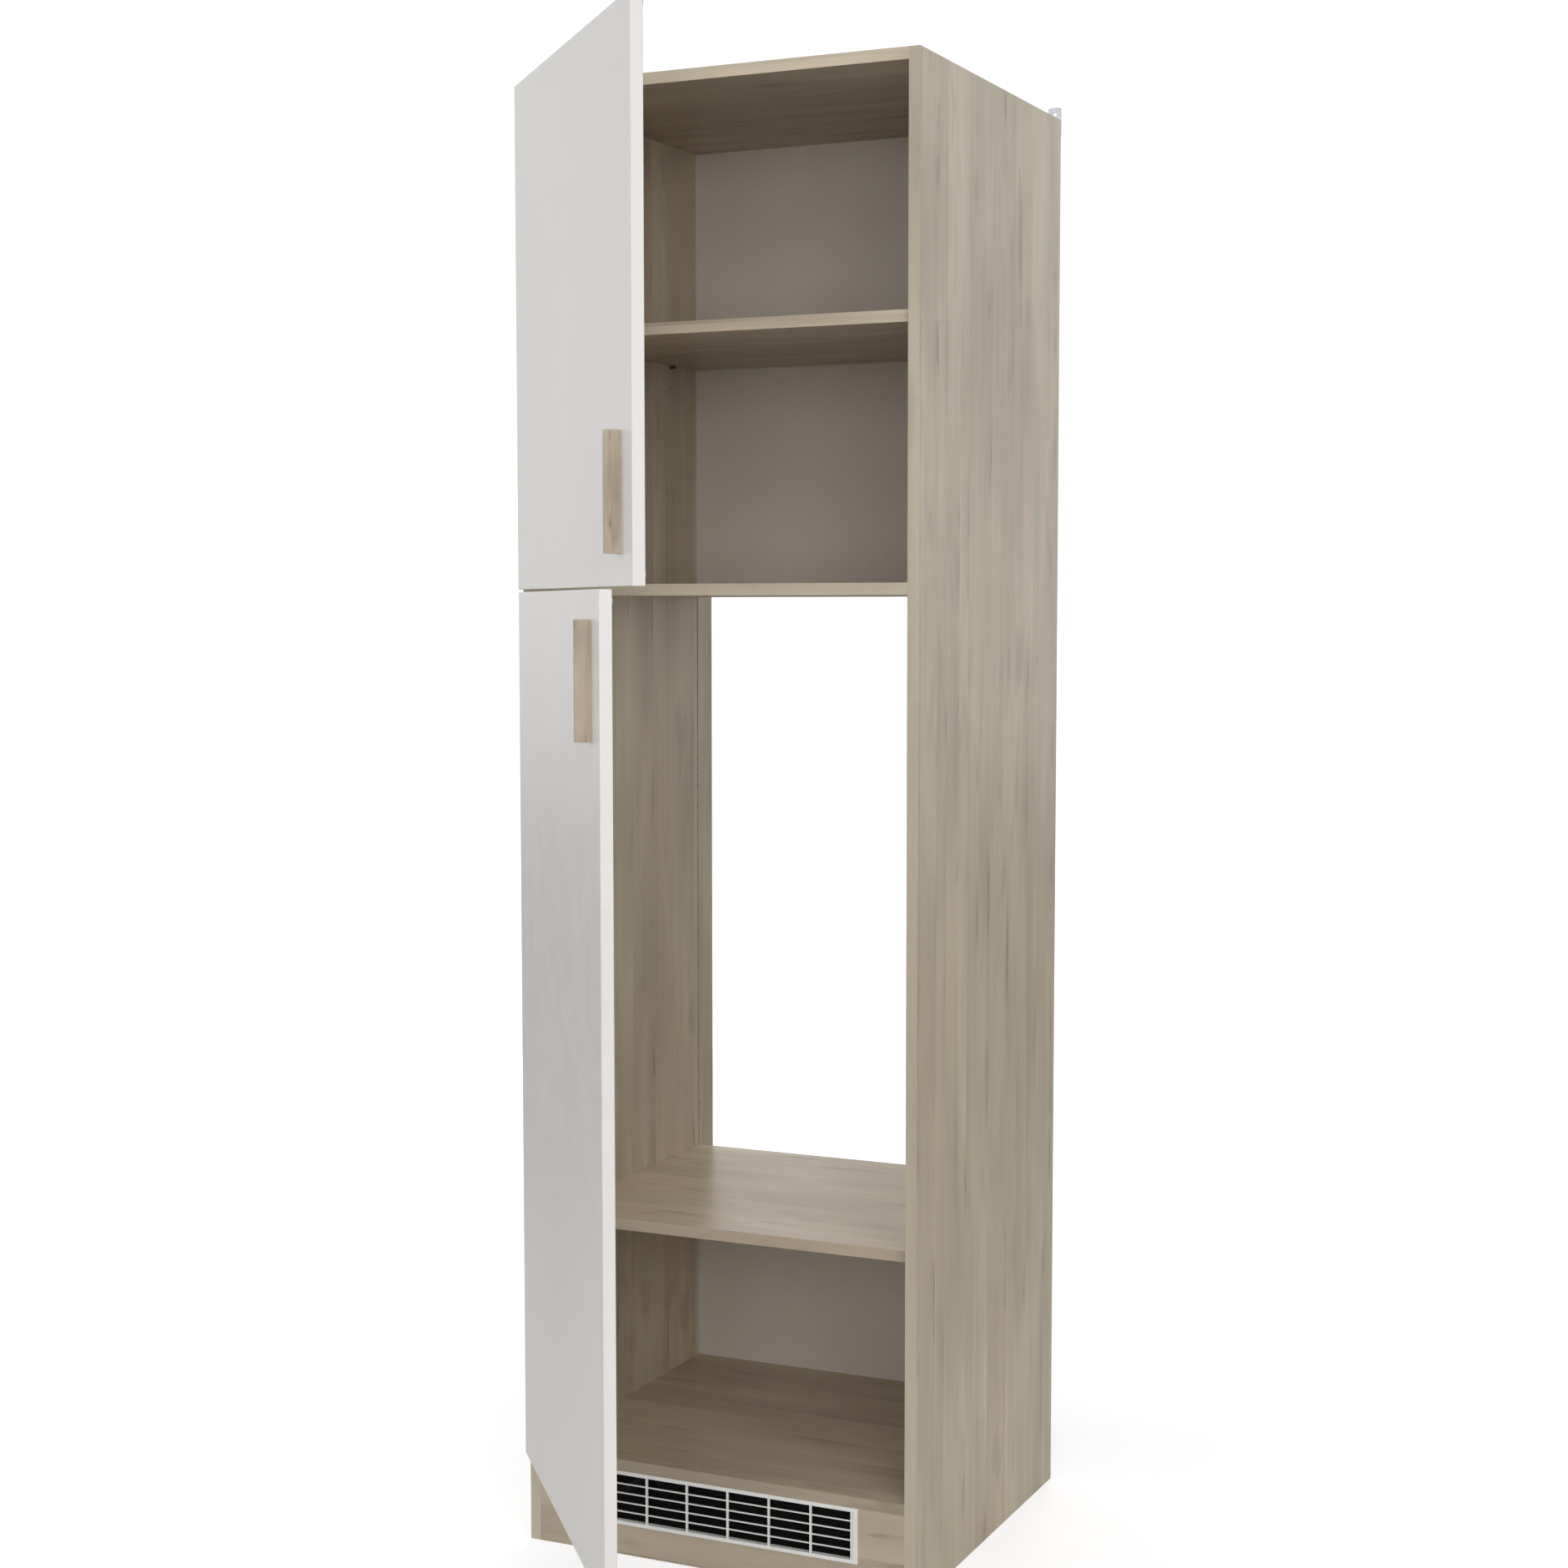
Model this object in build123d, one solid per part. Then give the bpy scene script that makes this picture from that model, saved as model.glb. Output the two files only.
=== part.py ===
from build123d import *
import os
from math import cos, sin, radians

# Tall kitchen housing unit for a built-in fridge, millimetres.
# Frame: origin at the front lower edge of the plinth board, in the middle of
# the width. +X to the right seen from the front, +Y towards the wall, +Z up.

# ---------------------------------------------------------------- sizes
W = 600.0            # outer width
D = 560.0            # depth of the side panels
H = 2070.0           # height
T = 16.0             # laminated board
BAND = 1.0           # edge band

XI = W / 2 - T       # inner face of a side panel, 284

# groove for the thin backs, seen in the side panels over the whole height
GROOVE_Y0 = 508.0
GROOVE_Y1 = 511.3
GROOVE_DEPTH = 5.0
BACK_T = 3.0
PANEL_REAR_Y = 516.0

# undersides of the fixed horizontal boards
Z_TOP = H - T        # 2054
Z_MIDDLE = 1363.0
Z_FRIDGE = 465.0
Z_BASE = 122.0
FRIDGE_SHELF_SETBACK = 20.0

# loose shelf
Z_LOOSE = 1719.0
LOOSE_SETBACK = 8.0
LOOSE_REAR_Y = 506.0
LOOSE_END_GAP = 1.0

# shelf pins and their holes
PIN_R = 2.45
PIN_HOLE_R = 2.5
PIN_IN = 9.0
PIN_OUT = 8.0
PIN_ROWS_Y = (37.0, 421.0)
PIN_PITCH = 32.0
Z_PIN = Z_LOOSE - PIN_HOLE_R       # 1716.5

# knock-down fittings
CAM_ROWS_Y = (60.0, 450.0)
DOWEL_ROWS_Y = (92.0, 418.0)
CAM_FROM_END = 34.0
CAM_R = 7.5
CAM_H = 12.5
DOWEL_R = 4.0
DOWEL_L = 30.0
PLINTH_DOWEL_R = 3.0
FIT = 0.05           # radial play of plugs in their bores

# plinth and grille
NOTCH_X0, NOTCH_X1, NOTCH_Z0 = -240.0, 212.0, 47.0
GR_X0, GR_X1, GR_Z0, GR_Z1 = -244.5, 215.5, 44.0, 121.8   # flange
GR_IN_X0, GR_IN_X1, GR_IN_Z0, GR_IN_Z1 = -237.2, 208.7, 49.4, 116.6
GR_BARS_X = (145.0, 81.3, 17.6, -46.1, -109.8, -173.5)
GR_BAR_W = 2.8
GR_SLATS_Z = (62.9, 76.3, 89.8, 103.2)
GR_SLAT_T = 1.6
GR_END_BAR = 3.7     # inner edge of the first and last upright, from the frame
GR_SLIT = 1.0        # narrow slit between these uprights and the frame

# doors
DOOR_W = 596.0
DOOR_T = 16.0
DOOR_GAP = 2.5
DOOR_X0 = -298.0
DOOR_FILLET = 1.2
UP_Z0, UP_Z1 = 1371.5, 2066.5
LO_Z0, LO_Z1 = 130.0, 1368.0
UP_REST, LO_REST = 46.0, 50.0      # opening angles at rest, degrees
DOOR_YI = -DOOR_GAP                # inner face when closed
DOOR_YO = -DOOR_GAP - DOOR_T       # outer face when closed

# handles
HANDLE_L, HANDLE_W, HANDLE_OUT = 148.0, 10.0, 20.0
HANDLE_U = 535.0                   # near side of the handle from the hinge edge
UP_HANDLE_Z, LO_HANDLE_Z = 1485.0, 1258.0
HANDLE_SPACING = 128.0

# hinges
UP_HINGES = (1467.0, 1971.0)
LO_HINGES = (225.0, 749.0, 1273.0)
PIV_U, PIV_W = 6.6, 8.0            # pin from the hinge edge, and below the inner face
CUP_U = 20.5
CUP_R, CUP_BORE_R, CUP_IN_R = 17.45, 17.5, 16.75
CUP_DEPTH, CUP_BORE_DEPTH, CUP_FLOOR = 12.2, 12.4, 11.4
CUP_SCREW_U, CUP_SCREW_DZ = 26.5, 24.0
HPIN_R, EYE_BORE_R, EYE_R = 1.2, 1.25, 2.2
PX = DOOR_X0 + PIV_U               # -291.4
PY = DOOR_YI - PIV_W               # -10.5

# wall brackets
BR_W, BR_H, BR_T = 20.0, 45.0, 2.0
BR_Z1 = 2089.0
BR_HOLE_R = 2.75
BR_HOLE_X = 290.0
BR_HOLE_Z = 2079.0

os.makedirs("parts", exist_ok=True)


# ---------------------------------------------------------------- helpers
def bx(x0, x1, y0, y1, z0, z1):
    return Pos((x0 + x1) / 2, (y0 + y1) / 2, (z0 + z1) / 2) * Box(
        abs(x1 - x0), abs(y1 - y0), abs(z1 - z0)
    )


def cx(x0, x1, y, z, r):
    return Pos((x0 + x1) / 2, y, z) * Rot(0, 90, 0) * Cylinder(r, abs(x1 - x0))


def cy(y0, y1, x, z, r):
    return Pos(x, (y0 + y1) / 2, z) * Rot(90, 0, 0) * Cylinder(r, abs(y1 - y0))


def cz(z0, z1, x, y, r):
    return Pos(x, y, (z0 + z1) / 2) * Cylinder(r, abs(z1 - z0))


def solids_of(shape):
    if isinstance(shape, (list, tuple)):
        return [s for one in shape for s in solids_of(one)]
    return list(shape.solids())


def save(name, shape):
    found = solids_of(shape)
    for s in found:
        s.label = name
    out = found[0] if len(found) == 1 else Compound(children=found)
    out.label = name
    export_step(out, f"parts/{name}.step")


def cross_recess(axis, x, y, z, depth, size, width=0.9):
    # two crossed slots, cut into a screw head at its outer end
    if axis == "y+":
        a = bx(x - size, x + size, y - depth, y + 1, z - width / 2, z + width / 2)
        b = bx(x - width / 2, x + width / 2, y - depth, y + 1, z - size, z + size)
    elif axis == "x+":
        a = bx(x - depth, x + 1, y - size, y + size, z - width / 2, z + width / 2)
        b = bx(x - depth, x + 1, y - width / 2, y + width / 2, z - size, z + size)
    elif axis == "z+":
        a = bx(x - size, x + size, y - width / 2, y + width / 2, z - depth, z + 1)
        b = bx(x - width / 2, x + width / 2, y - size, y + size, z - depth, z + 1)
    else:
        a = bx(x - size, x + size, y - width / 2, y + width / 2, z - 1, z + depth)
        b = bx(x - width / 2, x + width / 2, y - size, y + size, z - 1, z + depth)
    return a + b


# ---------------------------------------------------------------- side panels
FIXED = {
    "top_panel": (Z_TOP, BAND, "up"),
    "middle_panel": (Z_MIDDLE, BAND, "down"),
    "fridge_shelf": (Z_FRIDGE, FRIDGE_SHELF_SETBACK + BAND, "down"),
    "base_panel": (Z_BASE, BAND, "down"),
}
FIXED_MID_Z = [z0 + T / 2 for z0, _, _ in FIXED.values()]


def side_panel(s):
    # s = -1 left, +1 right
    body = bx(s * XI, s * W / 2, BAND, D, 0, H)
    body -= bx(s * (XI - 1), s * (XI + GROOVE_DEPTH), GROOVE_Y0, GROOVE_Y1, -1, H + 1)
    for z in FIXED_MID_Z:
        for y in DOWEL_ROWS_Y:
            body -= cx(s * (XI - 1), s * (XI + 10), y, z, DOWEL_R)
        for y in CAM_ROWS_Y:
            body -= cx(s * (XI - 1), s * (XI + 11), y, z, 2.5)
    for k in (-1, 0, 1):
        for y in PIN_ROWS_Y:
            body -= cx(s * (XI - 1), s * (XI + 10), y, Z_PIN + k * PIN_PITCH, PIN_HOLE_R)
    for z in (30.0, 90.0):
        body -= cx(s * (XI - 1), s * (XI + 10), T / 2, z, PLINTH_DOWEL_R)
    for z in (2051.0, 2063.0):
        body -= cy(D - 15, D + 1, s * 292, z, 1.55)
    if s < 0:
        for z in UP_HINGES + LO_HINGES:
            for dz in (-16, 16):
                body -= cx(-XI + 1, -XI - 11.5, 37, z + dz, 2.5)
    return body


save("side_panel_left", side_panel(-1))
save("side_panel_right", side_panel(1))
for s, side in ((-1, "left"), (1, "right")):
    save(f"edge_band_side_{side}", bx(s * XI, s * W / 2, 0, BAND, 0, H))


# ---------------------------------------------------------------- fixed boards
def fixed_board(z0, y0, cams, groove):
    z1, zm = z0 + T, z0 + T / 2
    body = bx(-XI, XI, y0, PANEL_REAR_Y, z0, z1)
    if groove == "under":
        body -= bx(-XI - 1, XI + 1, GROOVE_Y0, GROOVE_Y1, z0 - 1, z0 + GROOVE_DEPTH)
    elif groove == "over":
        body -= bx(-XI - 1, XI + 1, GROOVE_Y0, GROOVE_Y1, z1 - GROOVE_DEPTH, z1 + 1)
    for s in (-1, 1):
        for y in DOWEL_ROWS_Y:
            body -= cx(s * (XI + 1), s * (XI - 21), y, zm, DOWEL_R)
        for y in CAM_ROWS_Y:
            body -= cx(s * (XI + 1), s * (XI - CAM_FROM_END), y, zm, 4.0)
            if cams == "up":
                body -= cz(z1 + 1, z1 - CAM_H - 0.5, s * (XI - CAM_FROM_END), y, CAM_R)
            else:
                body -= cz(z0 - 1, z0 + CAM_H + 0.5, s * (XI - CAM_FROM_END), y, CAM_R)
    return body


save("top_panel", fixed_board(Z_TOP, BAND, "up", "under"))
save("middle_panel", fixed_board(Z_MIDDLE, BAND, "down", "over"))
save("fridge_shelf", fixed_board(Z_FRIDGE, FRIDGE_SHELF_SETBACK + BAND, "down", "under"))
save("base_panel", fixed_board(Z_BASE, BAND, "down", "over"))
save("edge_band_top", bx(-XI, XI, 0, BAND, Z_TOP, Z_TOP + T))
save("edge_band_middle", bx(-XI, XI, 0, BAND, Z_MIDDLE, Z_MIDDLE + T))
save(
    "edge_band_fridge_shelf",
    bx(-XI, XI, FRIDGE_SHELF_SETBACK, FRIDGE_SHELF_SETBACK + BAND, Z_FRIDGE, Z_FRIDGE + T),
)
save("edge_band_base", bx(-XI, XI, 0, BAND, Z_BASE, Z_BASE + T))

# ---------------------------------------------------------------- loose shelf
LX = XI - LOOSE_END_GAP
save("adjustable_shelf", bx(-LX, LX, LOOSE_SETBACK + BAND, LOOSE_REAR_Y, Z_LOOSE, Z_LOOSE + T))
save(
    "edge_band_adjustable_shelf",
    bx(-LX, LX, LOOSE_SETBACK, LOOSE_SETBACK + BAND, Z_LOOSE, Z_LOOSE + T),
)

pins = []
for s in (-1, 1):
    for y in PIN_ROWS_Y:
        pin = cx(s * (XI + PIN_IN), s * XI, y, Z_PIN, PIN_R)
        pin += cx(s * XI, s * (XI - 0.9), y, Z_PIN, 3.6)
        pin += cx(s * XI, s * (XI - PIN_OUT), y, Z_PIN, PIN_HOLE_R)
        pins.append(pin)
save("shelf_pins", pins)

# ---------------------------------------------------------------- backs
save(
    "back_panel_upper",
    bx(-XI - 4.5, XI + 4.5, GROOVE_Y0, GROOVE_Y0 + BACK_T, Z_MIDDLE + T - GROOVE_DEPTH, Z_TOP + 4.5),
)
save(
    "back_panel_lower",
    bx(-XI - 4.5, XI + 4.5, GROOVE_Y0, GROOVE_Y0 + BACK_T, Z_BASE + T - GROOVE_DEPTH, Z_FRIDGE + 4.5),
)

# ---------------------------------------------------------------- fittings
cams, bolts, dowels = [], [], []
for z0, y0, way in FIXED.values():
    zm = z0 + T / 2
    for s in (-1, 1):
        for y in CAM_ROWS_Y:
            xc = s * (XI - CAM_FROM_END)
            if way == "up":
                cam = cz(z0 + T, z0 + T - CAM_H, xc, y, CAM_R - FIT)
                cam -= cross_recess("z+", xc, y, z0 + T, 2.5, 4.5, 1.4)
            else:
                cam = cz(z0, z0 + CAM_H, xc, y, CAM_R - FIT)
                cam -= cross_recess("z-", xc, y, z0, 2.5, 4.5, 1.4)
            cam -= cx(xc + s * 10, xc - s * 1.5, y, zm, 3.3)
            cams.append(cam)
            bolt = cx(s * (XI + 10.8), s * XI, y, zm, 2.45)
            bolt += cx(s * XI, s * (XI - 2), y, zm, 3.5)
            bolt += cx(s * XI, s * (XI - 27), y, zm, 2.0)
            bolt += cx(s * (XI - 27), s * (XI - 32), y, zm, 3.0)
            bolts.append(bolt)
        for y in DOWEL_ROWS_Y:
            dowels.append(
                cx(s * (XI + 9.5), s * (XI + 9.5 - DOWEL_L), y, zm, DOWEL_R - FIT)
            )
save("cam_housings", cams)
save("cam_bolts", bolts)
save("wood_dowels", dowels)

# ---------------------------------------------------------------- plinth
plinth = bx(-XI, XI, 0, T, 0, Z_BASE)
plinth -= bx(NOTCH_X0, NOTCH_X1, -1, T + 1, NOTCH_Z0, Z_BASE + 1)
pd = []
for s in (-1, 1):
    for z in (30.0, 90.0):
        plinth -= cx(s * (XI + 1), s * (XI - 21), T / 2, z, PLINTH_DOWEL_R)
        pd.append(cx(s * (XI + 9.5), s * (XI - 20.5), T / 2, z, PLINTH_DOWEL_R - FIT))
save("plinth_board", plinth)
save("plinth_dowels", pd)

# grille: flange in front of the board, a ring through the notch, upright bars
# and level slats
flange = bx(GR_X0, GR_X1, -2, 0, GR_Z0, GR_Z1)
flange = fillet(flange.faces().sort_by(Axis.Y)[0].edges(), 0.7)
ring = bx(NOTCH_X0 + 0.3, NOTCH_X1 - 0.3, 0, 9, NOTCH_Z0 + 0.3, Z_BASE - 0.3)
grille = flange + ring
grille -= bx(GR_IN_X0, GR_IN_X1, -3, 15, GR_IN_Z0, GR_IN_Z1)
for x in GR_BARS_X:
    grille += bx(x - GR_BAR_W / 2, x + GR_BAR_W / 2, -1.2, 1.8, GR_IN_Z0, GR_IN_Z1)
grille += bx(GR_IN_X0 + GR_SLIT, GR_IN_X0 + GR_END_BAR, -1.2, 1.8, GR_IN_Z0, GR_IN_Z1)
grille += bx(GR_IN_X1 - GR_END_BAR, GR_IN_X1 - GR_SLIT, -1.2, 1.8, GR_IN_Z0, GR_IN_Z1)
# thin level slats, a little behind the uprights
for z in GR_SLATS_Z:
    grille += bx(GR_IN_X0, GR_IN_X1, -0.8, 1.3, z - GR_SLAT_T / 2, z + GR_SLAT_T / 2)
save("plinth_grille", grille)
save(
    "grille_fly_screen",
    bx(GR_IN_X0, GR_IN_X1, 6.6, 7.4, GR_IN_Z0, GR_IN_Z1),
)

# ---------------------------------------------------------------- wall brackets
bracket_screws = []
for s, side in ((-1, "left"), (1, "right")):
    plate = bx(s * (W / 2 - BR_W), s * W / 2, D, D + BR_T, BR_Z1 - BR_H, BR_Z1)
    plate = fillet(plate.edges().filter_by(Axis.Y), 3.0)
    plate -= cy(D - 1, D + BR_T + 1, s * BR_HOLE_X, BR_HOLE_Z, BR_HOLE_R)
    for z in (2051.0, 2063.0):
        plate -= cy(D - 1, D + BR_T + 1, s * 292, z, 1.9)
        screw = cy(D - 14, D + BR_T, s * 292, z, 1.5)
        head = cy(D + BR_T, D + BR_T + 1.8, s * 292, z, 3.3)
        head = fillet(head.faces().sort_by(Axis.Y)[-1].edges(), 1.0)
        head -= cross_recess("y+", s * 292, D + BR_T + 1.8, z, 1.1, 1.8, 0.8)
        bracket_screws.append(screw + head)
    save(f"wall_bracket_{side}", plate)
save("wall_bracket_screws", bracket_screws)


# ---------------------------------------------------------------- hinges, fixed half
def hinge_plate(z):
    body = bx(-XI, -XI + 3, 20, 60, z - 9.5, z + 9.5)
    wing = bx(-XI, -XI + 3, 29, 45, z - 25, z + 25)
    wing = fillet(wing.edges().filter_by(Axis.X), 4.0)
    body += wing
    # ridge that the arm is screwed down on
    body += bx(-XI + 3, -273.6, 22, 58, z - 7.2, z + 7.2)
    for y, r in ((50.0, 2.05), (30.0, 2.05)):
        body -= cx(-XI + 3, -270, y, z, r)
    for dz in (-16, 16):
        body -= cx(-XI - 1, -XI + 4, 37, z + dz, 2.6)
        cone = Pos(-XI + 3 - 1.1, 37, z + dz) * Rot(0, 90, 0) * Cone(2.6, 4.8, 2.2)
        body -= cone
    return body


def plate_screw(z):
    shank = cx(-XI + 1, -XI - 11, 37, z, 2.45)
    head = Pos(-XI + 3 - 1.1, 37, z) * Rot(0, 90, 0) * Cone(2.45, 4.65, 2.2)
    out = shank + head
    out -= cross_recess("x+", -XI + 3, 37, z, 1.4, 2.6, 0.9)
    return out


def hinge_arm(z):
    # bent strip: the eye on the pin, the first leg inside the cup, the second
    # leg out of the cup along the side panel, then a channel over the plate
    ex, ey = -280.0, PY - 11.4 * sin(radians(8.0)) / cos(radians(8.0))
    pts = [
        (PX, PY - 1.0),
        (ex - 0.2, ey - 1.0),
        (ex + 1.0, ey + 0.4),
        (ex + 1.0, 13.5),
        (ex - 1.0, 13.5),
        (ex - 1.0, ey + 1.0),
        (PX, PY + 1.0),
    ]
    strip = extrude(Pos(0, 0, z - 4.4) * make_face(Polyline(*pts, close=True)), 8.8)
    eye = cz(z - 3.2, z + 3.2, PX, PY, EYE_R)
    body = strip + eye
    body += bx(-281, -279, 3.5, 13.5, z - 9.2, z + 9.2)
    shell = bx(-281, -271.6, 12, 60, z - 9.2, z + 9.2)
    shell = fillet(
        shell.edges().filter_by(Axis.Y).sort_by(Axis.X)[-2:], 1.5
    )
    shell -= bx(-282, -273.2, 13.5, 61, z - 7.6, z + 7.6)
    body += shell
    body -= cz(z - 6, z + 6, PX, PY, EYE_BORE_R)
    # slot for the fixing screw, bore for the side adjusting screw
    body -= bx(-274, -271, 48, 60.5, z - 2.1, z + 2.1)
    body -= cx(-274, -271, 48, z, 2.1)
    body -= cx(-274, -271, 30, z, 2.05)
    return body


def arm_screws(z):
    fix = cx(-280.8, -271.6, 50, z, 2.0)
    head = cx(-271.6, -269.4, 50, z, 3.6)
    head = fillet(head.faces().sort_by(Axis.X)[-1].edges(), 0.8)
    head -= cross_recess("x+", -269.4, 50, z, 1.4, 2.1, 0.9)
    adjust = cx(-280.8, -271.2, 30, z, 2.0)
    adjust -= cross_recess("x+", -271.2, 30, z, 1.4, 1.4, 0.8)
    return [fix + head, adjust]


for tag, zs in (("upper", UP_HINGES), ("lower", LO_HINGES)):
    save(f"hinge_plates_{tag}", [hinge_plate(z) for z in zs])
    save(f"hinge_arms_{tag}", [hinge_arm(z) for z in zs])
save(
    "hinge_plate_screws",
    [plate_screw(z + dz) for z in UP_HINGES + LO_HINGES for dz in (-16, 16)],
)
save("hinge_arm_screws", [arm_screws(z) for z in UP_HINGES + LO_HINGES])

# ---------------------------------------------------------------- doors
PIVOT = Axis((PX, PY, 0), (0, 0, 1))


def door_set(tag, z0, z1, hinges, handle_z, rest):
    turn = lambda shape: shape.rotate(PIVOT, -rest)
    cup_x = DOOR_X0 + CUP_U
    scr_x = DOOR_X0 + CUP_SCREW_U
    hx = DOOR_X0 + HANDLE_U + HANDLE_W / 2

    panel = bx(DOOR_X0, DOOR_X0 + DOOR_W, DOOR_YO, DOOR_YI, z0, z1)
    panel = fillet(panel.edges(), DOOR_FILLET)
    for z in hinges:
        panel -= cy(DOOR_YI + 1, DOOR_YI - CUP_BORE_DEPTH, cup_x, z, CUP_BORE_R)
        for dz in (-CUP_SCREW_DZ, CUP_SCREW_DZ):
            panel -= cy(DOOR_YI + 1, DOOR_YI - 11, scr_x, z + dz, 1.55)
    for dz in (-HANDLE_SPACING / 2, HANDLE_SPACING / 2):
        panel -= cy(DOOR_YI + 1, DOOR_YO - 1, hx, handle_z + dz, 2.2)
    save(f"{tag}_door_panel", turn(panel))

    handle = bx(
        hx - HANDLE_W / 2, hx + HANDLE_W / 2, DOOR_YO - HANDLE_OUT, DOOR_YO,
        handle_z - HANDLE_L / 2, handle_z + HANDLE_L / 2,
    )
    back = handle.faces().sort_by(Axis.Y)[-1]
    back_edges = [e.center() for e in back.edges()]
    rounded = [
        e for e in handle.edges()
        if all((e.center() - c).length > 1e-6 for c in back_edges)
    ]
    handle = fillet(rounded, 1.0)
    screws = []
    for dz in (-HANDLE_SPACING / 2, HANDLE_SPACING / 2):
        z = handle_z + dz
        handle -= cy(DOOR_YO + 1, DOOR_YO - 12, hx, z, 2.05)
        shank = cy(DOOR_YO - 10, DOOR_YI, hx, z, 2.0)
        head = cy(DOOR_YI, DOOR_YI + 2.2, hx, z, 4.0)
        head = fillet(head.faces().sort_by(Axis.Y)[-1].edges(), 1.0)
        head -= cross_recess("y+", hx, DOOR_YI + 2.2, z, 1.4, 2.3, 1.0)
        screws.append(turn(shank + head))
    save(f"{tag}_handle", turn(handle))
    save(f"{tag}_handle_screws", screws)

    cups, cup_screws, pins_ = [], [], []
    for z in hinges:
        cup = cy(DOOR_YI - CUP_DEPTH, DOOR_YI, cup_x, z, CUP_R)
        # flange on the inner face, with two screw lugs set away from the edge
        rim = cy(DOOR_YI, DOOR_YI + 1.2, cup_x, z, 18.6)
        lugs = bx(cup_x - 4, scr_x + 7, DOOR_YI, DOOR_YI + 1.2, z - 30, z + 30)
        lugs = fillet(lugs.edges().filter_by(Axis.Y), 6.0)
        cup += rim + lugs
        well = cy(DOOR_YI - CUP_FLOOR, DOOR_YI + 3, cup_x, z, CUP_IN_R)
        cheeks = bx(cup_x - 20, DOOR_X0 + 12, DOOR_YI - 13, DOOR_YI + 1.2, z + 5.6, z + 20)
        cheeks += bx(cup_x - 20, DOOR_X0 + 12, DOOR_YI - 13, DOOR_YI + 1.2, z - 20, z - 5.6)
        cup -= well - cheeks
        # the rim is open towards the hinge edge, where the arm swings out
        cup -= bx(DOOR_X0 - 5, DOOR_X0 + 12, DOOR_YI, DOOR_YI + 3, z - 11, z + 11)
        cup -= cz(z - 20, z + 20, PX, PY, HPIN_R)
        for dz in (-CUP_SCREW_DZ, CUP_SCREW_DZ):
            cup -= cy(DOOR_YI - 1, DOOR_YI + 2, scr_x, z + dz, 1.9)
            shank = cy(DOOR_YI - 10.5, DOOR_YI + 1.2, scr_x, z + dz, 1.5)
            head = cy(DOOR_YI + 1.2, DOOR_YI + 2.3, scr_x, z + dz, 3.4)
            head = fillet(head.faces().sort_by(Axis.Y)[-1].edges(), 0.7)
            head -= cross_recess("y+", scr_x, DOOR_YI + 2.3, z + dz, 0.8, 1.9, 0.8)
            cup_screws.append(turn(shank + head))
        cups.append(turn(cup))
        pins_.append(turn(cz(z - 8.4, z + 8.4, PX, PY, HPIN_R)))
    save(f"hinge_cups_{tag}", cups)
    save(f"hinge_cup_screws_{tag}", cup_screws)
    save(f"hinge_pins_{tag}", pins_)

    bumpers = []
    for z in (z0 + 14, z1 - 14):
        b = cy(DOOR_YI, DOOR_YI + 2.0, DOOR_X0 + 588, z, 4.0)
        b = fillet(b.faces().sort_by(Axis.Y)[-1].edges(), 0.9)
        bumpers.append(turn(b))
    save(f"door_bumpers_{tag}", bumpers)


door_set("upper", UP_Z0, UP_Z1, UP_HINGES, UP_HANDLE_Z, UP_REST)
door_set("lower", LO_Z0, LO_Z1, LO_HINGES, LO_HANDLE_Z, LO_REST)
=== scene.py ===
import math

import bmesh
import bpy
from mathutils import Matrix, Vector


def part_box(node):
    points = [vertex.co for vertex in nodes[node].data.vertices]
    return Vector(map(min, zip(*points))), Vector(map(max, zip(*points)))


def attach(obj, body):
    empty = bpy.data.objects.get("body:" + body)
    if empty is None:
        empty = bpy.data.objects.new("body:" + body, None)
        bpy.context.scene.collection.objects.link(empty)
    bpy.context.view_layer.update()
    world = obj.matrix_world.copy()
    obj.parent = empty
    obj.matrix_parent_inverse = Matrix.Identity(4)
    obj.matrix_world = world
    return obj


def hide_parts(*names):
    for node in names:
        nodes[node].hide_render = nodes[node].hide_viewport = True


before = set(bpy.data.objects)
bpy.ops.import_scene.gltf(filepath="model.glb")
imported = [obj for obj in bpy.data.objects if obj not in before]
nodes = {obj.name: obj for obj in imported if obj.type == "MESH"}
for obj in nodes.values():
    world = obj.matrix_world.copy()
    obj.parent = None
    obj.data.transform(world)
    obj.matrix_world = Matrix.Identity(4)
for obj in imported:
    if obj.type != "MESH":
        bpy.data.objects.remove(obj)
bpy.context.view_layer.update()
scene = bpy.context.scene


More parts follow.
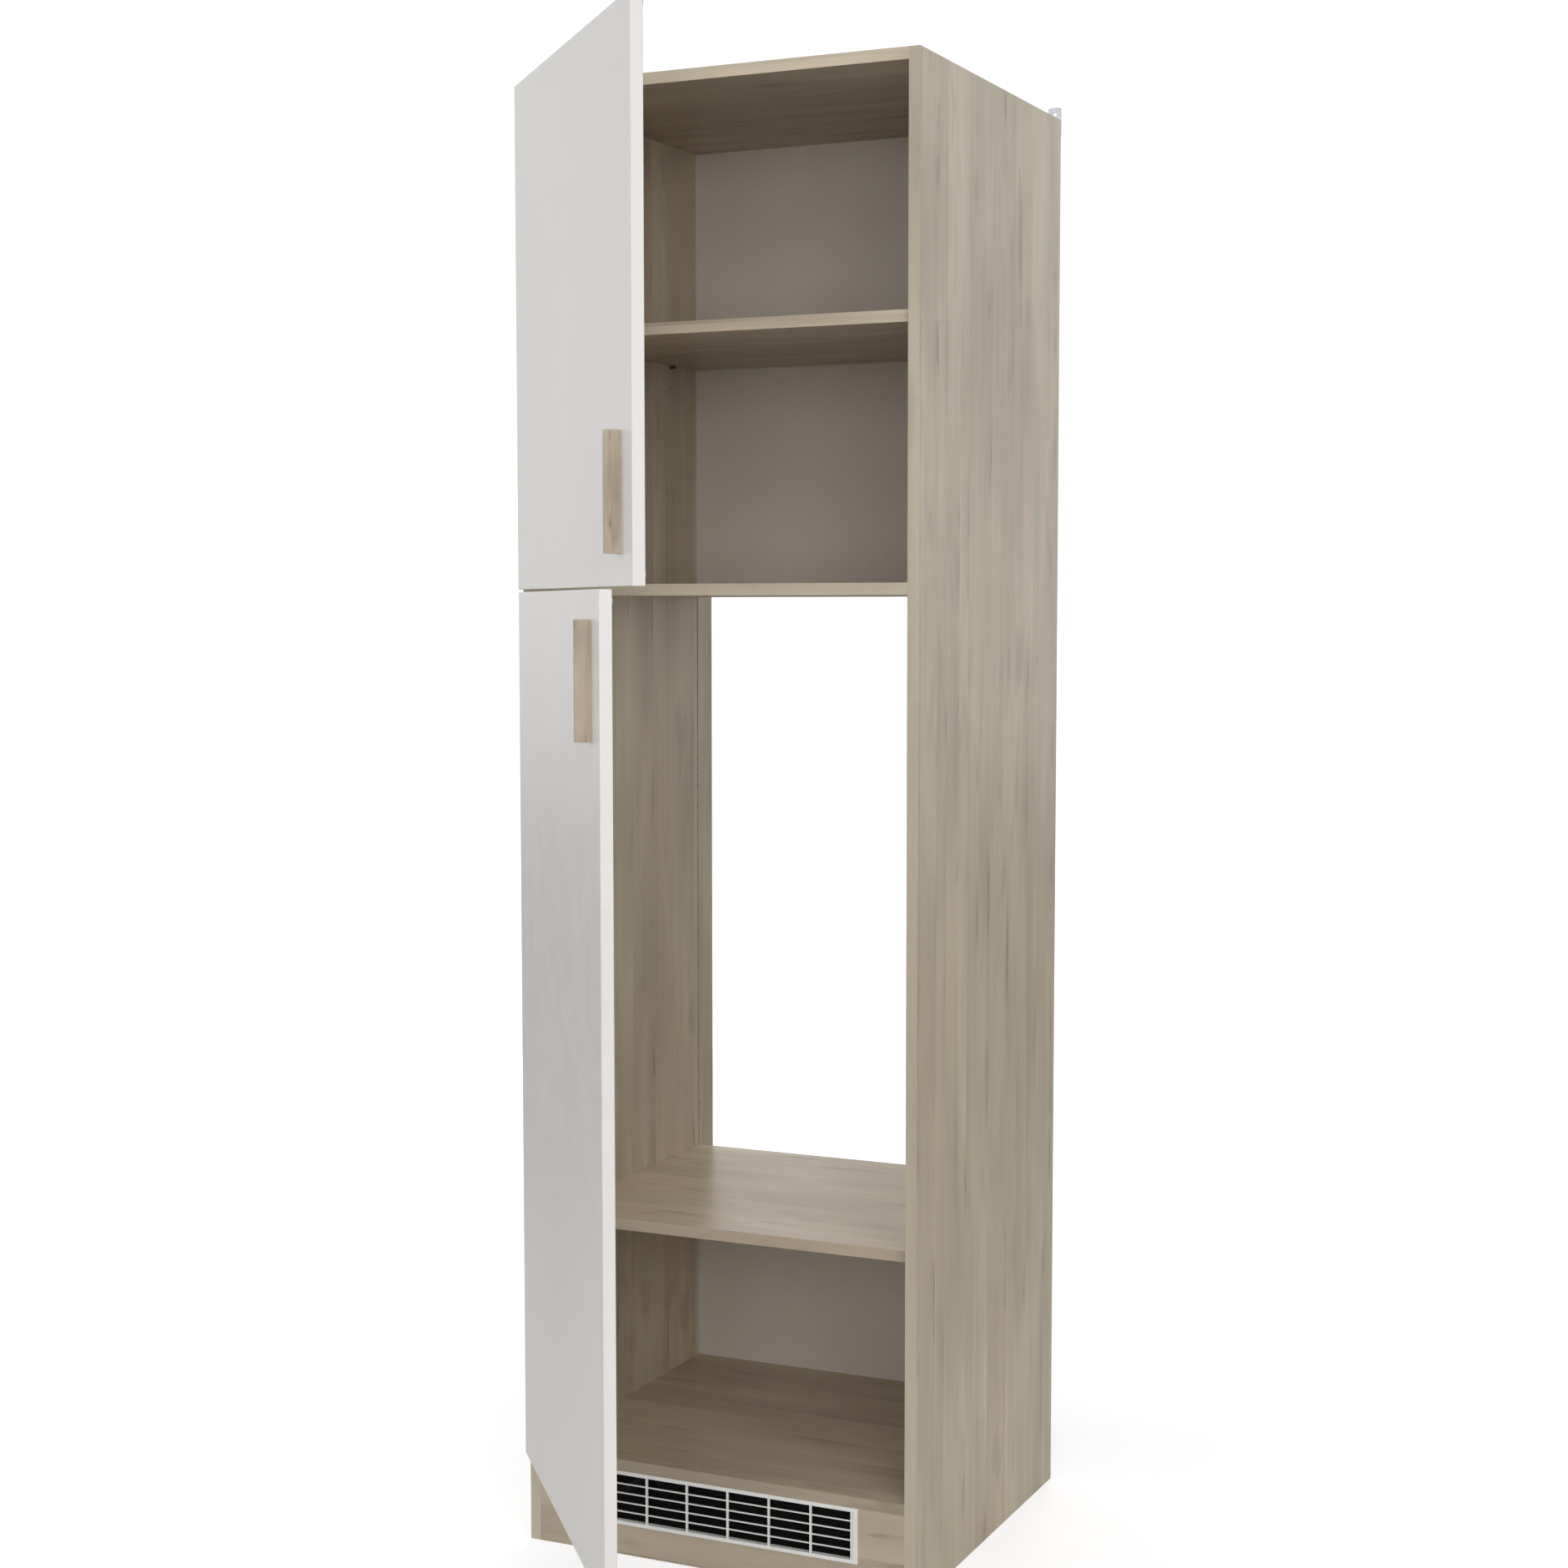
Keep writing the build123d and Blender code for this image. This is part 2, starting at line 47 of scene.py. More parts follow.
# ------------------------------------------------------------------ node helpers
class Graph:
    """A small wrapper that keeps the material graphs readable."""

    def __init__(self, name):
        self.mat = bpy.data.materials.new(name)
        self.mat.use_nodes = True
        self.nt = self.mat.node_tree
        self.nt.nodes.clear()
        self.out = self.nt.nodes.new("ShaderNodeOutputMaterial")
        self.bsdf = self.nt.nodes.new("ShaderNodeBsdfPrincipled")
        self.nt.links.new(self.bsdf.outputs["BSDF"], self.out.inputs["Surface"])
        tc = self.nt.nodes.new("ShaderNodeTexCoord")
        self.pos = tc.outputs["Object"]
        self.nor = tc.outputs["Normal"]
        sep = self.nt.nodes.new("ShaderNodeSeparateXYZ")
        self.link(self.pos, sep.inputs[0])
        self.x, self.y, self.z = sep.outputs
        sepn = self.nt.nodes.new("ShaderNodeSeparateXYZ")
        self.link(self.nor, sepn.inputs[0])
        self.nx, self.ny, self.nz = sepn.outputs

    def link(self, a, b):
        self.nt.links.new(a, b)

    def put(self, socket, value):
        if isinstance(value, bpy.types.NodeSocket):
            self.link(value, socket)
        else:
            socket.default_value = value

    def math(self, op, a, b=None, c=None, clamp=False):
        n = self.nt.nodes.new("ShaderNodeMath")
        n.operation = op
        n.use_clamp = clamp
        for i, v in enumerate((a, b, c)):
            if v is not None:
                self.put(n.inputs[i], v)
        return n.outputs[0]

    def vec(self, x, y, z):
        n = self.nt.nodes.new("ShaderNodeCombineXYZ")
        for i, v in enumerate((x, y, z)):
            self.put(n.inputs[i], v)
        return n.outputs[0]

    def noise(self, vec, scale=1.0, detail=2.0, rough=0.5, distort=0.0):
        n = self.nt.nodes.new("ShaderNodeTexNoise")
        n.noise_dimensions = "3D"
        self.link(vec, n.inputs["Vector"])
        n.inputs["Scale"].default_value = scale
        n.inputs["Detail"].default_value = detail
        n.inputs["Roughness"].default_value = rough
        n.inputs["Distortion"].default_value = distort
        return n.outputs["Fac"]

    def voronoi(self, vec, scale=1.0, feature="F1"):
        n = self.nt.nodes.new("ShaderNodeTexVoronoi")
        n.feature = feature
        self.link(vec, n.inputs["Vector"])
        n.inputs["Scale"].default_value = scale
        return n.outputs

    def white(self, vec):
        n = self.nt.nodes.new("ShaderNodeTexWhiteNoise")
        n.noise_dimensions = "3D"
        self.link(vec, n.inputs["Vector"])
        return n.outputs["Value"]

    def smooth(self, value, lo, hi, a=0.0, b=1.0):
        n = self.nt.nodes.new("ShaderNodeMapRange")
        n.interpolation_type = "SMOOTHSTEP"
        n.clamp = True
        self.put(n.inputs["Value"], value)
        n.inputs["From Min"].default_value = lo
        n.inputs["From Max"].default_value = hi
        n.inputs["To Min"].default_value = a
        n.inputs["To Max"].default_value = b
        return n.outputs["Result"]

    def linear(self, value, lo, hi, a=0.0, b=1.0):
        n = self.nt.nodes.new("ShaderNodeMapRange")
        n.clamp = True
        self.put(n.inputs["Value"], value)
        n.inputs["From Min"].default_value = lo
        n.inputs["From Max"].default_value = hi
        n.inputs["To Min"].default_value = a
        n.inputs["To Max"].default_value = b
        return n.outputs["Result"]

    def mix(self, fac, a, b, blend="MIX"):
        n = self.nt.nodes.new("ShaderNodeMix")
        n.data_type = "RGBA"
        n.blend_type = blend
        n.clamp_factor = True
        self.put(n.inputs["Factor"], fac)
        for s, v in ((n.inputs[6], a), (n.inputs[7], b)):
            if isinstance(v, bpy.types.NodeSocket):
                self.link(v, s)
            else:
                s.default_value = (*v[:3], 1.0)
        return n.outputs[2]

    def gain(self, colour, value):
        """colour times a grey value"""
        n = self.nt.nodes.new("ShaderNodeVectorMath")
        n.operation = "SCALE"
        self.link(colour, n.inputs[0])
        self.put(n.inputs["Scale"], value)
        return n.outputs[0]

    def bump(self, height, distance, strength=1.0, normal=None):
        n = self.nt.nodes.new("ShaderNodeBump")
        n.inputs["Strength"].default_value = strength
        n.inputs["Distance"].default_value = distance
        self.link(height, n.inputs["Height"])
        if normal is not None:
            self.link(normal, n.inputs["Normal"])
        return n.outputs["Normal"]

    def finish(self, colour=None, rough=None, normal=None, **uniform):
        p = self.bsdf.inputs
        if colour is not None:
            self.put(p["Base Color"], colour)
        if rough is not None:
            self.put(p["Roughness"], rough)
        if normal is not None:
            self.link(normal, p["Normal"])
        for k, v in uniform.items():
            p[k.replace("_", " ")].default_value = v
        return self.mat


def lin(r, g, b):
    """sRGB 0..255 to linear"""
    out = []
    for c in (r, g, b):
        c /= 255.0
        out.append(c / 12.92 if c <= 0.04045 else ((c + 0.055) / 1.055) ** 2.4)
    return tuple(out)


# ------------------------------------------------------------------ wood laminate
WOOD_LIGHT = lin(204, 193, 169)
WOOD_OLIVE = lin(193, 182, 159)
WOOD_PINK = lin(193, 175, 154)
WOOD_DARK = lin(128, 109, 90)


def chipboard(g, vec):
    """colour of a raw cut edge: pressed chips of mixed tone, coarser in the middle"""
    cells = g.voronoi(vec, 520.0)
    tone = g.white(cells["Position"])
    flakes = g.white(g.voronoi(vec, 240.0)["Position"])
    big = g.noise(vec, 90.0, 3.0, 0.6)
    c = g.mix(tone, lin(176, 148, 110), lin(208, 184, 146))
    c = g.mix(g.smooth(flakes, 0.80, 0.86, 0.0, 0.55), c, lin(140, 108, 74))
    c = g.mix(g.smooth(big, 0.5, 0.75, 0.0, 0.35), c, lin(150, 120, 86))
    return c


def wood(name, grain, across, seed, core=None, tone=1.0, light=WOOD_LIGHT,
         olive=WOOD_OLIVE, pink=WOOD_PINK, dark=WOOD_DARK, contrast=1.25, fine=1.2,
         rough=0.34, spec=0.30, size=1.0):
    """Wood-grain laminate printed as long strips. grain and across name the axes that run
    along and across the grain; core(g) gives a mask of raw chipboard."""
    g = Graph(name)
    ax = {"x": g.x, "y": g.y, "z": g.z}
    third = ({"x", "y", "z"} - {grain, across}).pop()
    v = g.math("MULTIPLY_ADD", ax[grain], 1.0 / size, seed * 3.71)
    u = g.math("MULTIPLY_ADD", ax[across], 1.0 / size, seed * 1.93)
    w = g.math("MULTIPLY", ax[third], 1.0 / size)

    def strips(width, jitter, s):
        """strips of uneven width: number and place inside the strip"""
        warp = g.noise(g.vec(g.math("MULTIPLY", u, 0.45 / width), s, seed), 1.0, 1.0, 0.5)
        p = g.math("MULTIPLY_ADD", warp, jitter, g.math("DIVIDE", u, width))
        return g.math("FLOOR", p), g.math("FRACT", p)

    def along(idx, kv, s, detail=1.5):
        """a value that is the same across a strip and drifts along it"""
        return g.noise(g.vec(g.math("MULTIPLY", idx, 7.31), g.math("MULTIPLY", v, kv), s + seed),
                       1.0, detail, 0.5)

    def swing(value, amount):
        return g.linear(value, 0.25, 0.75, -amount, amount)

    wide, wide_f = strips(0.088, 1.7, 3.3)
    mid, mid_f = strips(0.041, 1.5, 8.7)
    thin, thin_f = strips(0.013, 1.2, 12.9)
    hue = g.math("MULTIPLY_ADD", along(mid, 1.7, 31.0), 1.05, 0.08)

    cloud = g.noise(g.vec(g.math("MULTIPLY", u, 7.0), g.math("MULTIPLY", v, 2.4), seed), 1.0, 2.0, 0.5)
    bend = g.noise(g.vec(g.math("MULTIPLY", u, 3.0), g.math("MULTIPLY", v, 1.6), seed + 3.0), 1.0, 2.0, 0.5)
    u2 = g.math("MULTIPLY_ADD", bend, 0.03, u)
    streak = g.noise(g.vec(g.math("MULTIPLY", u2, 95.0), g.math("MULTIPLY", v, 2.6),
                           g.math("MULTIPLY", w, 60.0)), 1.0, 3.0, 0.55)
    fibre = g.noise(g.vec(g.math("MULTIPLY", u2, 420.0), g.math("MULTIPLY", v, 9.0),
                          g.math("MULTIPLY", w, 420.0)), 1.0, 3.0, 0.6)
    pores = g.noise(g.vec(g.math("MULTIPLY", u2, 900.0), g.math("MULTIPLY", v, 38.0),
                          g.math("MULTIPLY", w, 900.0)), 1.0, 1.0, 0.5)

    c = g.mix(g.smooth(cloud, 0.36, 0.64), olive, light)
    c = g.mix(g.smooth(hue, 0.47, 0.82, 0.0, 0.78), c, pink)

    nxt = along(g.math("ADD", wide, 1.0), 2.2, 3.3)
    tone_w = g.math("MULTIPLY_ADD", g.math("SUBTRACT", nxt, along(wide, 2.2, 3.3)),
                    g.smooth(wide_f, 0.90, 1.0, 0.0, 1.0), along(wide, 2.2, 3.3))
    k = g.math("ADD", 1.0, swing(tone_w, 0.085 * contrast))
    k = g.math("ADD", k, swing(along(mid, 3.0, 17.0), 0.070 * contrast))
    k = g.math("ADD", k, swing(along(thin, 3.4, 23.0), 0.034 * contrast))
    ramp = g.math("MULTIPLY", g.math("SUBTRACT", mid_f, 0.5), swing(along(mid, 2.6, 41.0), 0.17 * contrast))
    k = g.math("ADD", k, ramp)
    k = g.math("ADD", k, swing(cloud, 0.035 * contrast))
    k = g.math("ADD", k, swing(streak, 0.040 * fine))
    k = g.math("ADD", k, swing(fibre, 0.030 * fine))
    c = g.gain(c, k)

    # smears that lean on one edge of a strip and fray out along it
    frayed = g.math("MULTIPLY_ADD", g.noise(g.vec(g.math("MULTIPLY", u2, 150.0), g.math("MULTIPLY", v, 4.0),
                                                  seed + 5.0), 1.0, 2.0, 0.6), 0.16, v)
    spot = g.smooth(g.noise(g.vec(g.math("MULTIPLY", mid, 7.31), g.math("MULTIPLY", frayed, 7.5),
                                  seed + 53.0), 1.0, 2.0, 0.5), 0.555, 0.70)
    lean = g.math("POWER", mid_f, 4.2)
    soft = g.noise(g.vec(g.math("MULTIPLY", u, 60.0), g.math("MULTIPLY", v, 16.0), seed), 1.0, 2.0, 0.5)
    smear = g.math("MULTIPLY", g.math("MULTIPLY", spot, lean), g.linear(soft, 0.3, 0.7, 0.55, 1.15))
    c = g.mix(g.math("MULTIPLY", smear, 0.60 * contrast), c, dark)
    # soft dark clouds, drawn out along the grain
    run = g.noise(g.vec(g.math("MULTIPLY", u2, 20.0), g.math("MULTIPLY", v, 6.0), seed + 11.0), 1.0, 2.5, 0.55)
    c = g.mix(g.smooth(run, 0.60, 0.76, 0.0, 0.22 * contrast), c, dark)

    # small knots: an eye with a soft halo
    cells = g.voronoi(g.vec(g.math("MULTIPLY", u, 7.6), g.math("MULTIPLY", v, 4.2), seed + 0.5), 1.0)
    pick = g.white(cells["Position"])
    there = g.math("GREATER_THAN", pick, 0.58)
    fray = g.noise(g.vec(g.math("MULTIPLY", u, 190.0), g.math("MULTIPLY", v, 60.0), seed), 1.0, 2.0)
    dist = g.math("MULTIPLY_ADD", fray, 0.05, cells["Distance"])
    eye = g.math("MULTIPLY", g.smooth(dist, 0.055, 0.10, 1.0, 0.0), there)
    halo = g.math("MULTIPLY", g.smooth(dist, 0.05, 0.19, 1.0, 0.0), there)
    c = g.mix(g.math("MULTIPLY", halo, 0.20 * contrast), c, dark)
    c = g.mix(g.math("MULTIPLY", eye, 0.52 * contrast), c, dark)
    c = g.mix(g.smooth(pores, 0.64, 0.76, 0.0, 0.18 * fine), c, dark)
    # tone scales the whole colour; the callers use it as painted light and painted shade on whole boards and
    # bands
    if tone != 1.0:
        c = g.gain(c, tone)

    r = g.linear(fibre, 0.3, 0.7, rough + 0.05, rough - 0.04)
    h = g.math("ADD", g.math("MULTIPLY", fibre, 0.7), g.math("MULTIPLY", pores, 0.3))
    n = g.bump(h, 0.00010, 0.30)
    if core is not None:
        m = core(g)
        raw = chipboard(g, g.pos)
        c = g.mix(m, c, raw)
        r = g.math("MAXIMUM", r, g.math("MULTIPLY", m, 0.85))
    return g.finish(c, r, n, Specular_IOR_Level=spec)


def both(g, a, b):
    return g.math("MULTIPLY", a, b)


def either(g, a, b):
    return g.math("MAXIMUM", a, b)


def side_core(g):
    """ends, rear edge and groove of an upright board"""
    ends = g.math("GREATER_THAN", g.math("ABSOLUTE", g.nz), 0.5)
    rear = both(g, g.math("GREATER_THAN", g.y, 0.5598), g.math("GREATER_THAN", g.ny, 0.5))
    ay = g.math("ABSOLUTE", g.x)
    groove = both(g, both(g, g.math("GREATER_THAN", g.y, 0.50795), g.math("LESS_THAN", g.y, 0.51135)),
                  both(g, g.math("GREATER_THAN", ay, 0.28415), g.math("LESS_THAN", ay, 0.2995)))
    # walls of the bored holes
    across = g.math("LESS_THAN", g.math("ABSOLUTE", g.nx), 0.5)
    inside = both(g, both(g, g.math("GREATER_THAN", g.y, 0.004), g.math("LESS_THAN", g.y, 0.50)),
                  both(g, g.math("GREATER_THAN", g.z, 0.004), g.math("LESS_THAN", g.z, 2.066)))
    return either(g, either(g, either(g, ends, rear), groove), both(g, across, inside))


def board_core(g):
    """rear edge of a level board"""
    return both(g, g.math("GREATER_THAN", g.y, 0.4), g.math("GREATER_THAN", g.ny, 0.5))


def plinth_core(g):
    """edges of the notch and the lower edge of the plinth board"""
    ends = g.math("GREATER_THAN", g.math("ABSOLUTE", g.nz), 0.5)
    sides = g.math("GREATER_THAN", g.math("ABSOLUTE", g.nx), 0.5)
    return either(g, ends, sides)


# ------------------------------------------------------------------ other finishes
def white_board(name):
    g = Graph(name)
    peel = g.noise(g.pos, 620.0, 2.0, 0.5)
    wide = g.noise(g.pos, 3.0, 2.0, 0.5)
    mid = g.noise(g.pos, 26.0, 3.0, 0.55)
    c = g.mix(g.linear(wide, 0.3, 0.7), lin(230, 227, 224), lin(234, 231, 227))
    c = g.gain(c, g.linear(mid, 0.3, 0.7, 0.988, 1.006))
    r = g.linear(mid, 0.3, 0.7, 0.34, 0.42)
    n = g.bump(peel, 0.00002, 0.5)
    return g.finish(c, r, n, Specular_IOR_Level=0.5)


def back_board(name):
    """thin fibreboard: grey-beige paper on the front, bare brown on the rear"""
    g = Graph(name)
    paper = g.noise(g.pos, 900.0, 2.0, 0.6)
    cloud = g.noise(g.pos, 5.0, 2.0, 0.5)
    front = g.mix(g.linear(cloud, 0.3, 0.7), lin(206, 197, 188), lin(211, 203, 194))
    front = g.gain(front, g.linear(paper, 0.2, 0.8, 0.975, 1.02))
    fib = g.noise(g.pos, 260.0, 4.0, 0.7)
    rear = g.mix(g.smooth(fib, 0.35, 0.65), lin(134, 102, 72), lin(158, 124, 90))
    rear = g.gain(rear, g.linear(cloud, 0.3, 0.7, 0.94, 1.05))
    m = g.math("GREATER_THAN", g.ny, 0.5)
    c = g.mix(m, front, rear)
    r = g.math("ADD", g.linear(paper, 0.2, 0.8, 0.48, 0.56), g.math("MULTIPLY", m, 0.2))
    n = g.bump(fib, 0.00006, 0.25)
    return g.finish(c, r, n, Specular_IOR_Level=0.4)


def plastic(name, a, b, rough, spec=0.5, grain=700.0, depth=0.00003, **extra):
    g = Graph(name)
    tex = g.noise(g.pos, grain, 2.0, 0.55)
    wide = g.noise(g.pos, 14.0, 3.0, 0.55)
    c = g.mix(g.linear(wide, 0.3, 0.7), a, b)
    r = g.linear(tex, 0.3, 0.7, rough - 0.04, rough + 0.05)
    n = g.bump(tex, depth, 0.6)
    return g.finish(c, r, n, Specular_IOR_Level=spec, **extra)


def fly_mesh_painted_shade(name):
    """black coated thread, a little dusty in the dips; the near-black colour is painted shade, a dark sheet
    that stands in for the shade under the base panel behind the grille
    """
    g = Graph(name)
    tex = g.noise(g.pos, 90.0, 3.0, 0.6)
    fine = g.noise(g.pos, 2600.0, 2.0, 0.6)
    c = g.mix(g.linear(fine, 0.3, 0.7), lin(3, 3, 3), lin(10, 10, 10))
    c = g.mix(g.smooth(tex, 0.55, 0.75, 0.0, 0.15), c, lin(30, 29, 27))
    return g.finish(c, g.linear(tex, 0.3, 0.7, 0.75, 0.9), g.bump(fine, 0.00003, 0.6), Specular_IOR_Level=0.1)


def metal(name, a, b, rough, stretch=(1, 1, 1), scale=300.0, depth=0.00002, spangle=0.0):
    g = Graph(name)
    v = g.vec(g.math("MULTIPLY", g.x, stretch[0]), g.math("MULTIPLY", g.y, stretch[1]),
              g.math("MULTIPLY", g.z, stretch[2]))
    tex = g.noise(v, scale, 4.0, 0.6)
    wide = g.noise(g.pos, 45.0, 3.0, 0.6)
    c = g.mix(g.linear(tex, 0.3, 0.7), a, b)
    if spangle:
        cell = g.voronoi(g.pos, 420.0)
        c = g.gain(c, g.linear(g.white(cell["Position"]), 0.0, 1.0, 1.0 - spangle, 1.0 + spangle * 0.5))
    c = g.gain(c, g.linear(wide, 0.3, 0.7, 0.93, 1.04))
    r = g.linear(wide, 0.3, 0.7, rough - 0.06, rough + 0.08)
    n = g.bump(tex, depth, 0.5)
    return g.finish(c, r, n, Metallic=1.0)


def dowel_wood(name):
    g = Graph(name)
    v = g.vec(g.math("MULTIPLY", g.x, 12.0), g.math("MULTIPLY", g.y, 240.0), g.math("MULTIPLY", g.z, 240.0))
    t = g.noise(v, 4.0, 3.0, 0.6)
    c = g.mix(g.linear(t, 0.3, 0.7), lin(196, 158, 112), lin(222, 190, 146))
    return g.finish(c, g.linear(t, 0.3, 0.7, 0.6, 0.75), g.bump(t, 0.00008, 0.5))


# ------------------------------------------------------------------ assign
def give(node, mat):
    o = nodes[node]
    for s in o.material_slots:
        s.material = mat


give("side_panel_left", wood("laminate_side_left", "z", "y", 0.37, side_core))
give("side_panel_right", wood("laminate_side_right", "z", "y", 1.42, side_core))
# tone 0.88 is painted shade: the underside seen from below is darkened
give("top_panel", wood("laminate_top", "x", "y", 2.11, board_core, tone=0.88,
                       light=lin(205, 191, 165), olive=lin(194, 180, 155)))
give("middle_panel", wood("laminate_middle", "x", "y", 3.05, board_core))
# tone 1.05 is painted light: the shelf top is brightened for the light coming through the open back
give("fridge_shelf", wood("laminate_fridge_shelf", "x", "y", 4.63, board_core, tone=1.05,
                          light=lin(205, 191, 166), olive=lin(196, 182, 157), contrast=1.15,
                          dark=lin(142, 122, 99), fine=0.75, rough=0.30, spec=0.06))
# tone 0.97 is painted shade: the low, shaded base board is darkened slightly
give("base_panel", wood("laminate_base", "x", "y", 5.21, board_core, tone=0.97,
                        light=lin(206, 192, 168), olive=lin(197, 182, 158), contrast=1.1,
                        dark=lin(136, 116, 95), fine=0.75))
# tone 0.88 is painted shade: the underside seen from below is darkened
give("adjustable_shelf", wood("laminate_loose_shelf", "x", "y", 6.38, board_core, tone=0.88,
                              light=lin(205, 191, 165), olive=lin(194, 180, 155)))
# tone 0.85 is painted shadow: the plinth is darkened for the shadow of the open lower door
give("plinth_board", wood("laminate_plinth", "x", "z", 7.9, plinth_core, tone=0.85,
                          light=lin(205, 190, 167), olive=lin(196, 181, 158), contrast=0.9))

EDGE = dict(light=lin(197, 188, 167), olive=lin(190, 181, 160), pink=lin(188, 174, 153),
            contrast=0.9, fine=0.9)
give("edge_band_side_left", wood("band_side_left", "z", "x", 8.2, **EDGE))
give("edge_band_side_right", wood("band_side_right", "z", "x", 9.3, **EDGE))
LEVEL_EDGE = dict(light=lin(200, 189, 167), olive=lin(193, 182, 160), pink=lin(194, 176, 154),
                  contrast=1.2, fine=1.0)
# the band tones are painted light and shade by height: the top, middle and loose-shelf bands are brightened as
# painted light, and the fridge-shelf band is darkened a little and the base band strongly as painted shade
# near the floor
for i, (n, t) in enumerate((("top", 1.10), ("middle", 1.12), ("fridge_shelf", 0.93), ("base", 0.69),
                            ("adjustable_shelf", 1.12))):
    tint = dict(LEVEL_EDGE)
    if n in ("fridge_shelf", "base"):
        tint.update(light=lin(202, 187, 164), olive=lin(195, 180, 156))
    give(f"edge_band_{n}", wood(f"band_{n}", "x", "z", 10.7 + 1.31 * i, tone=t, **tint))

HANDLE = dict(light=lin(189, 174, 153), olive=lin(179, 164, 143), pink=lin(177, 159, 139),
              dark=lin(108, 90, 74), contrast=1.7, fine=1.4, rough=0.40, size=0.34)
give("upper_handle", wood("handle_wood_upper", "z", "x", 20.4, **HANDLE))
give("lower_handle", wood("handle_wood_lower", "z", "x", 23.9, **HANDLE))

white = white_board("white_board")
for n in ("upper_door_panel", "lower_door_panel"):
    give(n, white)
back = back_board("back_board")
for n in ("back_panel_upper", "back_panel_lower"):
    give(n, back)
give("plinth_grille", plastic("white_plastic", lin(232, 232, 228), lin(238, 238, 235), 0.38))
# the black fly screen is painted shade: a dark sheet in the shaded space behind the grille slats
give("grille_fly_screen", fly_mesh_painted_shade("fly_mesh_painted_shade"))

steel = metal("nickel_plated_steel", lin(196, 194, 188), lin(216, 214, 208), 0.30)
zinc = metal("zinc_plate", lin(186, 190, 194), lin(208, 212, 216), 0.36, spangle=0.10)
cast = metal("zinc_casting", lin(150, 152, 154), lin(178, 180, 182), 0.48, scale=900.0, depth=0.00006)
give("shelf_pins", metal("dark_nickel", lin(112, 108, 101), lin(140, 136, 128), 0.42))
for n in ("cam_bolts", "wall_bracket_screws", "hinge_plates_upper", "hinge_plates_lower",
          "hinge_plate_screws", "hinge_arms_upper", "hinge_arms_lower", "hinge_arm_screws",
          "upper_handle_screws", "lower_handle_screws", "hinge_cups_upper", "hinge_cups_lower",
          "hinge_cup_screws_upper", "hinge_cup_screws_lower", "hinge_pins_upper", "hinge_pins_lower"):
    give(n, steel)
for n in ("wall_bracket_left", "wall_bracket_right"):
    give(n, zinc)
give("cam_housings", cast)
dw = dowel_wood("dowel_wood")
give("wood_dowels", dw)
give("plinth_dowels", dw)
bump = plastic("clear_bumper", lin(214, 214, 210), lin(224, 224, 220), 0.30,
               Transmission_Weight=0.35)
for n in ("door_bumpers_upper", "door_bumpers_lower"):
    give(n, bump)

# ------------------------------------------------------------------ woven fly screen, a black sheet of painted shade behind the grille
def weave(name, node, pitch, width, thick, wave):
    """a plain weave of flat black threads that fills the node's box"""
    lo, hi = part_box(node)
    y0 = 0.5 * (lo[1] + hi[1])
    nx = int((hi[0] - lo[0] - width) / pitch)
    nz = int((hi[2] - lo[2] - width) / pitch)
    sx = (hi[0] - lo[0] - width) / nx
    sz = (hi[2] - lo[2] - width) / nz
    xs = [lo[0] + width / 2 + i * sx for i in range(nx + 1)]
    zs = [lo[2] + width / 2 + j * sz for j in range(nz + 1)]
    verts, faces = [], []

    def thread(points, side):
        """points along the thread, side the unit vector across it"""
        n0 = len(verts)
        for p in points:
            for a, b in ((-1, 0), (0, 1), (1, 0), (0, -1)):
                verts.append((p[0] + side[0] * a * width / 2, p[1] + b * thick / 2,
                              p[2] + side[2] * a * width / 2))
        for i in range(len(points) - 1):
            for k in range(4):
                a, b = n0 + 4 * i + k, n0 + 4 * i + (k + 1) % 4
                faces.append((a, a + 4, b + 4, b))
        faces.append((n0, n0 + 1, n0 + 2, n0 + 3))
        e = n0 + 4 * (len(points) - 1)
        faces.append((e + 3, e + 2, e + 1, e))

    for i, x in enumerate(xs):
        pts = [(x, y0, lo[2])]
        pts += [(x, y0 + (wave if (i + j) % 2 else -wave), z) for j, z in enumerate(zs)]
        pts.append((x, y0, hi[2]))
        thread(pts, (1, 0, 0))
    for j, z in enumerate(zs):
        pts = [(lo[0], y0, z)]
        pts += [(x, y0 + (-wave if (i + j) % 2 else wave), z) for i, x in enumerate(xs)]
        pts.append((hi[0], y0, z))
        thread(pts, (0, 0, 1))
    me = bpy.data.meshes.new(name)
    me.from_pydata(verts, [], faces)
    me.validate()
    bm = bmesh.new()
    bm.from_mesh(me)
    bmesh.ops.recalc_face_normals(bm, faces=bm.faces)
    bm.to_mesh(me)
    bm.free()
    o = bpy.data.objects.new(name, me)
    scene.collection.objects.link(o)
    return o


# this black weave is painted shade behind the grille slats
screen = weave("fly_screen_weave_painted_shade", "grille_fly_screen", 0.0024, 0.0021, 0.00030, 0.00020)
screen.data.materials.append(bpy.data.materials["fly_mesh_painted_shade"])
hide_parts("grille_fly_screen")
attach(screen, "carcass")

